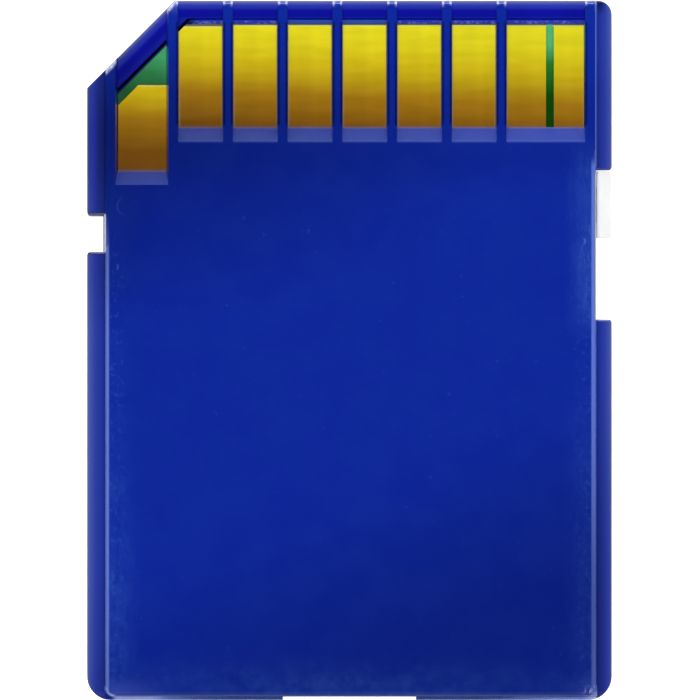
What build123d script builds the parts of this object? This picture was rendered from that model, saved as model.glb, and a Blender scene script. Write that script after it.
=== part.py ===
from build123d import *
import os
from math import sqrt

os.makedirs("parts", exist_ok=True)

# Memory card in millimetres. It lies on its label side with the contacts up: +Y is the leading
# (contact) edge, +X the side with the write lock, Z = 0 the face with the label.

# Card outline and levels
card_width = 24.0
card_length = 32.0
card_thickness = 2.1
rail_height = 1.4
seam_height = 0.7
corner_cut = 4.0
lead_corner_radius = 0.65
tail_corner_radius = 1.1
outer_edge_radius = 0.1
seam_bevel = 0.05
fit_clearance = 0.06

# Raised panel of the rear cover
left_rail = 0.82
right_rail = 0.66
tail_ledge = 0.16
panel_draft = 0.08
panel_corner_radius = 0.45
panel_edge_radius = 0.14
left_sharp_length = 11.3
right_sharp_length = 6.85
sharp_lead_setback = 0.5

# Walls round the board
front_wall = 0.35
side_wall = 0.36
tail_wall = 0.6
ledge_width = 0.8
nose_width = 0.82
corner_nose_width = 1.0
nose_drop = 0.15
nose_radius = 0.35

# Contact windows, from the cut corner to the lock side
left_rib_width = 0.48
right_rib_width = 0.57
rib_width = 0.44
corner_window_width = 2.43
corner_window_length = 7.79
corner_window_draft = 0.1
single_window_count = 6
pair_window_width = 3.6
window_length = 5.8
ramp_run = 0.65

# Circuit board and contacts
board_thickness = 0.35
board_bevel = 0.1
board_corner_gap = 0.12
contact_thickness = 0.05
contact_gap = 0.26
contact_setback = 1.1
contact_tuck = 0.3
contact_margin = 0.03
last_contact_width = 1.45
corner_contact_setback = 3.85
corner_contact_cut_inset = 1.57

# Side notches and tail recess
left_notch_setback = 9.79
left_notch_length = 1.71
left_notch_depth = 0.745
left_notch_step = 0.08
lock_notch_setback = 7.76
lock_notch_length = 6.83
lock_notch_depth = 0.73
notch_mouth_radius = 0.15
tail_recess_width = 6.1

# Write-lock slider
tab_length = 3.05
tab_wall_gap = 0.04
tab_corner_radius = 0.12
neck_length = 1.6
neck_height = 0.4
flange_length = 2.6
flange_width = 0.4
grip_groove_count = 3
grip_groove_pitch = 0.5
grip_groove_width = 0.2
grip_groove_depth = 0.07

# Packages under the board
controller_setback = 9.0
controller_size = 5.0
controller_headroom = 0.15
terminal_pitch = 0.5
terminal_width = 0.25
terminal_length = 0.4
terminal_thickness = 0.05
chip_spacing = 2.0
flash_tail_margin = 1.0
flash_side_margin = 2.3
flash_standoff = 0.06
lead_reach = 0.8
lead_pitch = 0.5
lead_width = 0.22
lead_thickness = 0.1

# Small parts under the board
passive_length = 1.0
passive_width = 0.5
passive_cap_length = 0.22
passive_cap_step = 0.03
passive_count = 4
capacitor_end_margin = 2.34
capacitor_headroom = 0.12
resistor_spacing = 1.5
resistor_headroom = 0.3
resistor_gap = 0.4

# Front label
label_side_margin = 2.0
label_tail_margin = 2.0
label_lead_margin = 3.0
label_cut_inset = 1.8
label_corner_radius = 0.6
label_recess_depth = 0.1
label_thickness = 0.06

# Reach of a cutter past the face it opens, and the tolerance for picking edges
overcut = 0.2
pick_tolerance = 0.005

# Outline places
half_width = card_width / 2
half_length = card_length / 2
lead_y = half_length
tail_y = -half_length
panel_left = -half_width + left_rail
panel_right = half_width - right_rail
panel_tail = tail_y + tail_ledge
left_notch_wall = -half_width + left_notch_depth
lock_notch_wall = half_width - lock_notch_depth
lock_notch_lead = lead_y - lock_notch_setback
lock_notch_y = lock_notch_lead - lock_notch_length / 2

# Levels from the front face up
contact_level = rail_height
board_top = contact_level - contact_thickness
board_bottom = board_top - board_thickness
nose_level = contact_level - nose_drop
chip_space = board_bottom - front_wall

# Cavity of the rear cover, and the board that sits in it
cavity_left = left_notch_wall + side_wall
cavity_right = lock_notch_wall - side_wall
cavity_tail = panel_tail + tail_wall
cavity_lead = lead_y - nose_width
board_left = cavity_left + fit_clearance
board_right = cavity_right - fit_clearance
board_tail = cavity_tail + fit_clearance
board_lead = cavity_lead - fit_clearance
board_cut_inset = corner_nose_width + board_corner_gap
tray_left = board_left + ledge_width
tray_right = board_right - ledge_width
tray_tail = board_tail + ledge_width
tray_lead = board_lead - ledge_width

# Windows as (left edge, right edge, reach back from the leading edge)
window_left = panel_left + left_rib_width
window_right = panel_right - right_rib_width
corner_window_right = window_left + corner_window_width
pair_window_left = window_right - pair_window_width
row_span = pair_window_left - corner_window_right
single_window_width = (row_span - (single_window_count + 1) * rib_width) / single_window_count
single_windows = []
for index in range(single_window_count):
    edge = corner_window_right + rib_width + index * (single_window_width + rib_width)
    single_windows.append((edge, edge + single_window_width, window_length))
pair_window = (pair_window_left, window_right, window_length)
corner_window = (window_left, corner_window_right, corner_window_length)

# Slider places in its unlocked position, and its travel towards the tail
tab_lead = lock_notch_lead - fit_clearance
slider_y = tab_lead - tab_length / 2
slider_travel = lock_notch_length - tab_length - 2 * fit_clearance
slide_middle = slider_y - slider_travel / 2
slot_length = neck_length + slider_travel + 2 * fit_clearance
slot_rise = neck_height / 2 + fit_clearance
flange_right = cavity_right - fit_clearance
channel_length = flange_length + slider_travel + 2 * fit_clearance
channel_width = flange_width + 2 * fit_clearance


def cut_rectangle(left, right, tail, lead, inset):
    """Rectangle whose leading left corner is cut along the card's own cut, moved in by inset."""
    cut_offset = half_width + half_length - corner_cut - inset * sqrt(2)
    with BuildSketch() as plan:
        with BuildLine():
            Polyline(
                (left, tail),
                (right, tail),
                (right, lead),
                (lead - cut_offset, lead),
                (left, left + cut_offset),
                close=True,
            )
        make_face()
    return plan.sketch


def card_plan(notch_step):
    """Card outline with both side notches; notch_step narrows the left one at its leading end."""
    notch_length = left_notch_length - notch_step
    notch_y = lead_y - left_notch_setback - notch_step - notch_length / 2
    with BuildSketch() as plan:
        add(cut_rectangle(-half_width, half_width, tail_y, lead_y, 0))
        fillet(plan.vertices().group_by(Axis.Y)[-1].sort_by(Axis.X)[-1], lead_corner_radius)
        fillet(plan.vertices().group_by(Axis.Y)[0], tail_corner_radius)
        with Locations((-half_width, notch_y)):
            Rectangle(2 * left_notch_depth, notch_length, mode=Mode.SUBTRACT)
        with Locations((half_width, lock_notch_y)):
            Rectangle(2 * lock_notch_depth, lock_notch_length, mode=Mode.SUBTRACT)
        for side, middle, length in (
            (-half_width, notch_y, notch_length),
            (half_width, lock_notch_y, lock_notch_length),
        ):
            reach = length / 2 + pick_tolerance
            mouth = plan.vertices().filter_by_position(
                Axis.X, side - pick_tolerance, side + pick_tolerance
            )
            fillet(mouth.filter_by_position(Axis.Y, middle - reach, middle + reach), notch_mouth_radius)
    return plan.sketch


def panel_plan(inset):
    """Outline of the raised panel, moved in by inset; only its left tail corner is rounded."""
    with BuildSketch() as plan:
        add(
            cut_rectangle(
                panel_left + inset, panel_right - inset, panel_tail + inset, lead_y - inset, inset
            )
        )
        tail_corners = plan.vertices().group_by(Axis.Y)[0]
        fillet(tail_corners.sort_by(Axis.X)[0], panel_corner_radius - inset)
    return plan.sketch


def label_plan(inset):
    """Outline of the label recess, moved in by inset all round."""
    margin = label_side_margin + inset
    with BuildSketch() as plan:
        add(
            cut_rectangle(
                margin - half_width,
                half_width - margin,
                tail_y + label_tail_margin + inset,
                lead_y - label_lead_margin - inset,
                label_cut_inset + inset,
            )
        )
        fillet(plan.vertices(), label_corner_radius)
    return plan.sketch


def window_cutter(left, right, length, draft):
    """Cutter of one contact window: open at the leading edge, a ramp at its back end."""
    foot = lead_y - length
    ramp_rise = card_thickness - contact_level
    top = card_thickness + overcut
    ramp_top = foot - ramp_run * (top - contact_level) / ramp_rise
    spread = draft * (top - contact_level) / ramp_rise
    with BuildPart() as cutter:
        with BuildSketch(Plane.YZ.offset(left - spread)):
            with BuildLine():
                Polyline(
                    (foot, nose_level),
                    (foot, contact_level),
                    (ramp_top, top),
                    (lead_y + overcut, top),
                    (lead_y + overcut, nose_level),
                    close=True,
                )
            make_face()
        extrude(amount=right - left + 2 * spread)
        with BuildSketch(Plane.XZ):
            with BuildLine():
                Polyline(
                    (left + draft, nose_level),
                    (left + draft, contact_level),
                    (left + draft - spread, top),
                    (right - draft + spread, top),
                    (right - draft, contact_level),
                    (right - draft, nose_level),
                    close=True,
                )
            make_face()
        extrude(amount=card_length, both=True, mode=Mode.INTERSECT)
    return cutter.part


# Rear cover: rail-high plate, drafted panel, board cavity, windows and lock slot
with BuildPart() as rear_plate:
    with BuildSketch(Plane.XY.offset(seam_height)):
        add(card_plan(0))
    extrude(amount=rail_height - seam_height)
    fillet(rear_plate.faces().sort_by(Axis.Z)[-1].outer_wire().edges(), outer_edge_radius)

with BuildPart() as panel_blank:
    with BuildSketch(Plane.XY.offset(seam_height)):
        add(panel_plan(0))
    extrude(amount=rail_height - seam_height)
    with BuildSketch(Plane.XY.offset(rail_height)):
        add(panel_plan(0))
    with BuildSketch(Plane.XY.offset(card_thickness)):
        add(panel_plan(panel_draft))
    loft(ruled=True)

# Beside the windows the panel's side edges stay sharp
with BuildPart() as sharp_sides:
    for side, rib, length in (
        (panel_left, left_rib_width, left_sharp_length),
        (panel_right, right_rib_width, right_sharp_length),
    ):
        with BuildSketch(Plane.XY.offset(seam_height)):
            with Locations((side, lead_y - (length + sharp_lead_setback) / 2)):
                Rectangle(2 * rib, length - sharp_lead_setback)
        extrude(amount=card_thickness - seam_height)
    add(panel_blank.part, mode=Mode.INTERSECT)

with BuildPart() as rear_cover:
    add(panel_blank.part)
    fillet(rear_cover.faces().sort_by(Axis.Z)[-1].outer_wire().edges(), panel_edge_radius)
    add(sharp_sides.part)
    add(rear_plate.part)
    chamfer(rear_cover.faces().sort_by(Axis.Z)[0].outer_wire().edges(), seam_bevel)
    with BuildSketch(Plane.XY.offset(seam_height)):
        with Locations((half_width, lock_notch_y)):
            Rectangle(2 * lock_notch_depth, lock_notch_length)
        with Locations((0, tail_y)):
            Rectangle(tail_recess_width, 2 * tail_ledge)
    extrude(amount=card_thickness - seam_height, mode=Mode.SUBTRACT)
    with BuildSketch(Plane.XY.offset(seam_height)):
        add(cut_rectangle(cavity_left, cavity_right, cavity_tail, cavity_lead, corner_nose_width))
    extrude(amount=contact_level - seam_height, mode=Mode.SUBTRACT)
    cutters = [window_cutter(*window, 0) for window in (*single_windows, pair_window)]
    cutters.append(window_cutter(*corner_window, corner_window_draft))
    add(cutters, mode=Mode.SUBTRACT)
    nose_edges = rear_cover.edges().filter_by_position(
        Axis.Z, nose_level - pick_tolerance, nose_level + pick_tolerance
    )
    lead_edges = nose_edges.filter_by_position(Axis.Y, lead_y - pick_tolerance, lead_y + pick_tolerance)
    cut_edges = nose_edges.filter_by(Axis((0, 0, 0), (1, 1, 0))).sort_by(Axis((0, 0, 0), (-1, 1, 0)))
    fillet([*lead_edges, cut_edges[-1]], nose_radius)
    with BuildSketch(Plane.XY.offset(seam_height)):
        with Locations((cavity_right + side_wall / 2, slide_middle)):
            Rectangle(side_wall + 2 * fit_clearance, slot_length)
    extrude(amount=slot_rise, mode=Mode.SUBTRACT)
rear_cover.part.label = "rear_cover"
export_step(rear_cover.part, "parts/rear_cover.step")

# Front cover: tray with a ledge that carries the board, lock channel and label recess
with BuildPart() as front_cover:
    with BuildSketch():
        add(card_plan(left_notch_step))
    extrude(amount=seam_height)
    fillet(front_cover.faces().sort_by(Axis.Z)[0].outer_wire().edges(), outer_edge_radius)
    chamfer(front_cover.faces().sort_by(Axis.Z)[-1].outer_wire().edges(), seam_bevel)
    with BuildSketch():
        with Locations((0, tail_y)):
            Rectangle(tail_recess_width, 2 * tail_ledge)
    extrude(amount=seam_height, mode=Mode.SUBTRACT)
    with BuildSketch(Plane.XY.offset(seam_height)):
        add(cut_rectangle(board_left, board_right, board_tail, board_lead, board_cut_inset))
    extrude(amount=board_bottom - seam_height)
    with BuildSketch(Plane.XY.offset(front_wall)):
        add(cut_rectangle(tray_left, tray_right, tray_tail, tray_lead, board_cut_inset + ledge_width))
        with Locations((cavity_right - channel_width / 2, slide_middle)):
            Rectangle(channel_width, channel_length)
    extrude(amount=chip_space, mode=Mode.SUBTRACT)
    with BuildSketch(Plane.XY.offset(seam_height - slot_rise)):
        with Locations((cavity_right + side_wall / 2, slide_middle)):
            Rectangle(side_wall + 2 * fit_clearance, slot_length)
    extrude(amount=slot_rise, mode=Mode.SUBTRACT)
    with BuildSketch():
        add(label_plan(0))
    extrude(amount=label_recess_depth, mode=Mode.SUBTRACT)
front_cover.part.label = "front_cover"
export_step(front_cover.part, "parts/front_cover.step")

# Write-lock slider: outer tab, neck through the wall, flange behind it
tab_width = lock_notch_depth - tab_wall_gap
tab_x = lock_notch_wall + tab_wall_gap + tab_width / 2
with BuildPart() as lock_slider:
    with BuildSketch(Plane.XY.offset(fit_clearance)) as tab_plan:
        with Locations((tab_x, slider_y)):
            Rectangle(tab_width, tab_length)
        fillet(tab_plan.vertices().group_by(Axis.X)[-1], tab_corner_radius)
        with Locations((tab_x + tab_width / 2, slider_y)):
            with GridLocations(1, grip_groove_pitch, 1, grip_groove_count):
                Rectangle(2 * grip_groove_depth, grip_groove_width, mode=Mode.SUBTRACT)
    extrude(amount=rail_height - 2 * fit_clearance)
    with BuildSketch(Plane.XY.offset(seam_height - neck_height / 2)):
        with Locations(((flange_right + tab_x) / 2, slider_y)):
            Rectangle(tab_x - flange_right, neck_length)
    extrude(amount=neck_height)
    with BuildSketch(Plane.XY.offset(front_wall + fit_clearance)):
        with Locations((flange_right - flange_width / 2, slider_y)):
            Rectangle(flange_width, flange_length)
    extrude(amount=chip_space - 2 * fit_clearance)
lock_slider.part.label = "lock_slider"
export_step(lock_slider.part, "parts/lock_slider.step")

# Circuit board, with its leading edges bevelled
with BuildPart() as circuit_board:
    with BuildSketch(Plane.XY.offset(board_bottom)):
        add(cut_rectangle(board_left, board_right, board_tail, board_lead, board_cut_inset))
    extrude(amount=board_thickness)
    top_edges = circuit_board.faces().sort_by(Axis.Z)[-1].edges()
    chamfer(top_edges.sort_by(Axis((0, 0, 0), (-1, 2, 0)))[-2:], board_bevel)
circuit_board.part.label = "circuit_board"
export_step(circuit_board.part, "parts/circuit_board.step")

# Contacts as (left edge, right edge, leading edge, back edge, inset of the corner cut)
contact_lap = (rib_width - contact_gap) / 2
row_lead = lead_y - contact_setback
row_back = lead_y - window_length - contact_tuck
row_cut_inset = board_cut_inset + contact_margin
last_contact_right = window_right - contact_margin
last_contact_left = last_contact_right - last_contact_width
contacts = []
for left, right, length in single_windows:
    contacts.append((left - contact_lap, right + contact_lap, row_lead, row_back, row_cut_inset))
contacts.append(
    (pair_window_left - contact_lap, last_contact_left - contact_gap, row_lead, row_back, row_cut_inset)
)
contacts.append((last_contact_left, last_contact_right, row_lead, row_back, row_cut_inset))
contacts.append(
    (
        window_left + corner_window_draft + contact_margin,
        corner_window_right,
        lead_y - corner_contact_setback,
        lead_y - corner_window_length - contact_tuck,
        corner_contact_cut_inset,
    )
)
for number, (left, right, lead, back, cut_inset) in enumerate(contacts, start=1):
    with BuildPart() as contact:
        with BuildSketch(Plane.XY.offset(board_top)):
            with Locations(((left + right) / 2, (lead + back) / 2)):
                Rectangle(right - left, lead - back)
            add(
                cut_rectangle(board_left, board_right, board_tail, board_lead, cut_inset),
                mode=Mode.INTERSECT,
            )
        extrude(amount=contact_thickness)
    contact.part.label = f"contact_{number}"
    export_step(contact.part, f"parts/contact_{number}.step")

# Controller package under the board, on flat terminals
controller_y = lead_y - controller_setback - controller_size / 2
controller_thickness = chip_space - controller_headroom - terminal_thickness
terminal_level = board_bottom - terminal_thickness
terminal_count = int(controller_size / terminal_pitch) - 2
terminal_spread = controller_size - terminal_length
with BuildPart() as controller_chip:
    with BuildSketch(Plane.XY.offset(terminal_level)):
        with Locations((0, controller_y)):
            Rectangle(controller_size, controller_size)
    extrude(amount=-controller_thickness)
controller_chip.part.label = "controller_chip"
export_step(controller_chip.part, "parts/controller_chip.step")

with BuildPart() as controller_terminals:
    with BuildSketch(Plane.XY.offset(terminal_level)):
        with Locations((0, controller_y)):
            with GridLocations(terminal_spread, terminal_pitch, 2, terminal_count):
                Rectangle(terminal_length, terminal_width)
            with GridLocations(terminal_pitch, terminal_spread, terminal_count, 2):
                Rectangle(terminal_width, terminal_length)
    extrude(amount=terminal_thickness)
controller_terminals.part.label = "controller_terminals"
export_step(controller_terminals.part, "parts/controller_terminals.step")

# Flash package under the board, behind the controller
flash_lead = controller_y - controller_size / 2 - chip_spacing
flash_tail = tray_tail + flash_tail_margin
flash_length = flash_lead - flash_tail
flash_y = (flash_lead + flash_tail) / 2
flash_left = tray_left + flash_side_margin
flash_right = tray_right - flash_side_margin
flash_x = (flash_left + flash_right) / 2
flash_width = flash_right - flash_left
flash_level = board_bottom - flash_standoff
flash_thickness = flash_level - front_wall - fit_clearance
lead_level = flash_level - flash_thickness / 2
with BuildPart() as flash_chip:
    with BuildSketch(Plane.XY.offset(flash_level)):
        with Locations((flash_x, flash_y)):
            Rectangle(flash_width, flash_length)
    extrude(amount=-flash_thickness)
flash_chip.part.label = "flash_chip"
export_step(flash_chip.part, "parts/flash_chip.step")

# Each lead leaves the package at half height, rises to the board and lies along it
lead_count = int(flash_length / lead_pitch) - 1
shoulder_right = flash_right + (lead_reach + lead_thickness) / 2
foot_right = flash_right + lead_reach
with BuildPart() as lead_pair:
    with BuildSketch(Plane.XZ):
        with BuildLine():
            Polyline(
                (flash_right, lead_level - lead_thickness / 2),
                (shoulder_right, lead_level - lead_thickness / 2),
                (shoulder_right, board_bottom - lead_thickness),
                (foot_right, board_bottom - lead_thickness),
                (foot_right, board_bottom),
                (shoulder_right - lead_thickness, board_bottom),
                (shoulder_right - lead_thickness, lead_level + lead_thickness / 2),
                (flash_right, lead_level + lead_thickness / 2),
                close=True,
            )
        make_face()
    extrude(amount=lead_width / 2, both=True)
    mirror(about=Plane.YZ.offset(flash_x))

with BuildPart() as flash_chip_leads:
    with Locations((0, flash_y)):
        with GridLocations(1, lead_pitch, 1, lead_count):
            add(lead_pair.part)
flash_chip_leads.part.label = "flash_chip_leads"
export_step(flash_chip_leads.part, "parts/flash_chip_leads.step")


def chip_part(x, y, height):
    """Two-terminal part under the board: a body between two slightly taller end caps."""
    with BuildPart() as passive:
        with BuildSketch(Plane.XY.offset(board_bottom)):
            with Locations((x, y)):
                Rectangle(passive_length, passive_width)
        extrude(amount=-height)
        with BuildSketch(Plane.XY.offset(board_bottom - height)):
            with Locations((x, y)):
                Rectangle(passive_length - 2 * passive_cap_length, passive_width)
        extrude(amount=passive_cap_step, mode=Mode.SUBTRACT)
    return passive.part


# Capacitors between the two packages, resistors on the lock side of the controller
capacitor_y = flash_lead + chip_spacing / 2
capacitor_spacing = (flash_width - 2 * capacitor_end_margin) / (passive_count - 1)
resistor_x = controller_size / 2 + resistor_gap + passive_length / 2
for index in range(passive_count):
    step = index - (passive_count - 1) / 2
    capacitor = chip_part(
        flash_x + step * capacitor_spacing, capacitor_y, chip_space - capacitor_headroom
    )
    capacitor.label = f"capacitor_{index + 1}"
    export_step(capacitor, f"parts/capacitor_{index + 1}.step")
    resistor = chip_part(
        resistor_x, controller_y + step * resistor_spacing, chip_space - resistor_headroom
    )
    resistor.label = f"resistor_{index + 1}"
    export_step(resistor, f"parts/resistor_{index + 1}.step")

# Plain film in the recess of the front face
with BuildPart() as front_label:
    with BuildSketch(Plane.XY.offset(label_recess_depth)):
        add(label_plan(fit_clearance))
    extrude(amount=-label_thickness)
front_label.part.label = "front_label"
export_step(front_label.part, "parts/front_label.step")
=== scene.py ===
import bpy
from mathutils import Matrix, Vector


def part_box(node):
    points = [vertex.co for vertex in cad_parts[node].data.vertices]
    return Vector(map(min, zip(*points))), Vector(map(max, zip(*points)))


bl_info = {
    "name": "Memory card with sliding write lock",
    "version": (1, 0, 0),
    "blender": (4, 5, 0),
    "location": "View3D > Sidebar > Memory Card",
    "description": "Finishes the pieces of a flat memory card and sets up its stage",
    "category": "Object",
}

from math import cos, radians, sin, sqrt
from types import SimpleNamespace

import bmesh
import bpy
from bpy.props import FloatProperty, FloatVectorProperty, PointerProperty
from bpy.types import NodeSocket, Operator, Panel, PropertyGroup
from mathutils import Color, Vector

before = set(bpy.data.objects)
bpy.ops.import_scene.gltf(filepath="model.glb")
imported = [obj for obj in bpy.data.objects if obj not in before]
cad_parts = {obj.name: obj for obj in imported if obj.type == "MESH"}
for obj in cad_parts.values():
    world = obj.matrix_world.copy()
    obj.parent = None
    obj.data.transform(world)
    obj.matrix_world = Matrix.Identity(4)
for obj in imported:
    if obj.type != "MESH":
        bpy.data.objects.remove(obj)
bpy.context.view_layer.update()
cover_low, cover_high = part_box("rear_cover")
first_low, first_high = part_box("contact_1")
second_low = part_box("contact_2")[0]
pad_gap = second_low.x - first_high.x

MILLIMETRES = 1000.0
BLACK = (0.0, 0.0, 0.0)
WHITE = (1.0, 1.0, 1.0)
DISPLAY_STEPS = 255
BUILT_IN_PROPERTIES = ("rna_type", "name")
# The colour sockets of a Mix node, which share their names with its sockets for numbers.
MIX_UNDER, MIX_OVER, MIX_RESULT = 6, 7, 2
# The values between which nearly all of a noise lies.
NOISE_RANGE = (0.3, 0.7)

PAD_COUNT = 9
CORNER_PAD = 9
ROW_RIB_COUNT = 7
# How single contacts differ: how far back the painted shade and highlight at their leading end lie, how
# far the solder mask covers a side and how far back their painted colours lie, in millimetres, and how
# bright their painted rim highlights are.
PAD_TRAITS = {
    1: {"low_lead": 0.05},
    7: {"low_lead": 0.01, "mask_right": 0.04},
    8: {"low_lead": 0.01, "mask_left": 0.06},
    CORNER_PAD: {"shift": 1.3, "rim": 0.0},
}

# Runs of colours, each with its place. Places on the gold and the board are in millimetres along
# the card from its middle, on the nose in millimetres from the leading edge, and on the rails in
# shares of their width from the panel outwards.
GOLD_RUN = (
    (10.0, "gold_dull"),
    (11.6, "gold_brown"),
    (12.9, "gold_mid"),
    (13.9, "gold_warm"),
    (14.9, "gold_bright"),
)
ROW_RUN = ((11.6, "board_dark"), (13.1, "board_mid"), (14.0, "board_pale"))
CORNER_RUN = ((11.0, "corner_dark"), (12.2, "corner_mid"), (13.2, "corner_pale"))
NOSE_RUN = (
    (0.0, "nose_edge_highlight"),
    (0.07, "nose_pale"),
    (0.2, "nose_mid"),
    (0.5, "nose_blue"),
    (0.74, "nose_dark"),
    (0.8, "nose_lip"),
)
RAIL_RUN = ((0.0, "rail_foot"), (0.55, "rail_mid"), (0.95, "rail_edge_highlight"))
# How much further back the colours lie for each millimetre to the right.
GOLD_SLANT = 0.036
CORNER_SLANT = 0.4

# Copper lanes and glass threads in a millimetre of the board.
LANE_COUNT = 1.6
THREAD_COUNT = 2.2
# The middle and half the length of the stretch of the board's leading edge that isn't chipped.
WHOLE_EDGE_X = -0.55
WHOLE_EDGE_HALF = 2.5
# The lip of the low bar, where a highlight is painted, from the leading edge.
LIP_START, LIP_END = 0.77, 0.86

# Painted shade by the leading left corner: its middle and how far it reaches three ways.
SHADE_CORNER_X, SHADE_CORNER_Y = -13.0, 10.0
SHADE_REACH_RIGHT, SHADE_REACH_LEAD, SHADE_REACH_TAIL = 23.0, 5.5, 10.0
# The way in which painted shade darkens the covers towards the tail's right corner, and where it does.
TAIL_WAY_X, TAIL_WAY_Y = 0.37, -0.93
TAIL_SHADE_SPAN = (4.2, 15.0)
# Places across (X) and along (Y) the card where painted shade or highlight, another tone or wear starts
# and where it is full.
RAMP_SHADE_TAIL_Y = (6.5, 9.2)
RAMP_SHADE_LEAD_Y = (14.0, 11.5)
LEFT_SHADE_X = (-8.5, -10.4)
LEFT_SHADE_Y = (0.0, 4.0)
LEFT_SCUFFS_Y = (1.0, -12.0)
RIGHT_SCUFFS_Y = (3.0, -6.0)
LOCK_SCUFFS_TAIL_Y = (0.0, 2.2)
LOCK_SCUFFS_LEAD_Y = (10.2, 7.0)
TAIL_SCUFFS_X = (8.0, 1.0)
SIDE_NICKS_Y = (7.0, 3.0)
FAINT_HIGHLIGHT_Y = (-4.0, -14.0)
RECESS_SHADE_X = (10.5, 5.5)
PALEST_LEFT_X = (-11.0, -10.6)
PALEST_RIGHT_X = (-8.2, -9.2)
TAIL_RIGHT_GLINT_X = (10.6, 11.1)
TAIL_HAZE_X = (-8.0, -10.8)
DULL_GOLD_X = (2.0, 9.0)
BROWN_GOLD_Y = (12.2, 11.0)
# Small curved marks: the middle of a ring, its radius, the side of it that shows (1 is the right
# and -1 the left) and how strong it is.
SCRATCHES = (
    (10.65, 4.98, 0.12, 1, 0.5),
    (-10.68, 3.8, 0.1, 1, 0.35),
    (-10.2, 6.58, 0.41, -1, 0.13),
)
SCRATCH_WIDTH = 0.08

PASSIVE_COUNT = 4
# Millimetres on the hidden parts: the tinned ends of a small one, and the dimple in a package.
CAP_LENGTH = 0.22
DIMPLE_INSET = 0.8
DIMPLE_RADIUS = 0.3

# Soft lights: azimuth and elevation in degrees, width and height in metres.
LIGHTS = {
    "lead_light": (90, 38, 0.12, 0.22),
    "left_light": (180, 40, 0.35, 0.2),
    "right_light": (0, 40, 0.35, 0.2),
    "tail_light": (270, 38, 0.12, 0.2),
}
# The power of an area light for each unit of its radiance and area.
LIGHT_POWER = 4
# The sines of the elevations between which the sky goes from white to dim.
HORIZON_FADE = (0.05, 0.3)
FLOOR_GREY = (0.85, 0.85, 0.85)
FLOOR_ROUGHNESS = 0.9
# Keeps the floor apart from the card's underside.
FLOOR_DROP = 0.00001
SENSOR_WIDTH = 36.0
CLIP_NEAR, CLIP_FAR = 0.01, 10.0


def length(name, description, default):
    """Length property in metres."""
    return FloatProperty(name=name, description=description, default=default, precision=5, unit="LENGTH")


def colour(name, description, *steps):
    """Colour property whose default is given as red, green and blue steps of a display."""
    shown = Color([step / DISPLAY_STEPS for step in steps])
    return FloatVectorProperty(
        name=name,
        description=description,
        default=shown.from_srgb_to_scene_linear(),
        min=0.0,
        max=1.0,
        subtype="COLOR",
    )


def brightness(name, description, default):
    """Radiance of a light."""
    return FloatProperty(name=name, description=description, default=default, min=0.0)


class CARD_PG_sizes(PropertyGroup):
    """Places on the card that its finishes follow."""

    panel_left: length("Panel left", "Left edge of the raised panel", cover_low.x + 0.00082)
    panel_right: length("Panel right", "Right edge of the raised panel", cover_high.x - 0.00066)
    panel_tail: length("Panel tail", "Tail edge of the raised panel", cover_low.y + 0.00016)
    panel_bend: length("Panel bend", "Radius of the panel's left corner at the tail", 0.00045)
    panel_top: length("Panel top", "Level of the raised panel", cover_high.z)
    left_round: length("Left rounding", "Where the panel's left edge starts to be rounded", 0.0047)
    right_round: length("Right rounding", "Where the panel's right edge starts to be rounded", 0.0085)
    rail_level: length("Rail level", "Level of the side rails", 0.0014)
    rail_left: length("Rail left", "Outer side of the left rail", cover_low.x)
    rail_right: length("Rail right", "Outer side of the right rail", cover_high.x)
    lead: length("Lead", "Leading edge of the card", cover_high.y)
    corner_cut: length("Corner cut", "Length of the cut corner along each side", 0.004)
    nose_width: length("Nose width", "Depth of the low bar, where it is widest", 0.001)
    ramp_foot: length("Ramp foot", "Foot of the ramps behind the contact row", cover_high.y - 0.0058)
    corner_foot: length("Corner foot", "Foot of the ramp in the corner window", cover_high.y - 0.00779)
    ramp_run: length("Ramp run", "How far the ramps reach back", 0.00065)
    first_rib: length("First rib", "Middle of the rib by the cut corner", first_low.x - pad_gap / 2)
    rib_pitch: length("Rib pitch", "Distance from rib to rib", second_low.x - first_low.x)
    rib_width: length("Rib width", "Width of a rib between two windows", 0.00044)
    window_left: length("Window left", "Left wall of the corner window", cover_low.x + 0.0013)
    window_right: length("Window right", "Right wall of the last window", cover_high.x - 0.00123)
    lock_notch_lead: length("Lock notch lead", "Leading end of the lock's notch", cover_high.y - 0.00776)
    lock_notch_length: length("Lock notch length", "Length of the lock's notch", 0.00683)
    notch_lead: length("Notch lead", "Leading end of the left notch", cover_high.y - 0.00979)
    notch_length: length("Notch length", "Length of the left notch", 0.00171)
    notch_wall: length("Notch wall", "Inner wall of the left notch", cover_low.x + 0.000745)
    seam_level: length("Seam level", "Level of the seam between the covers", 0.0007)


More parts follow.
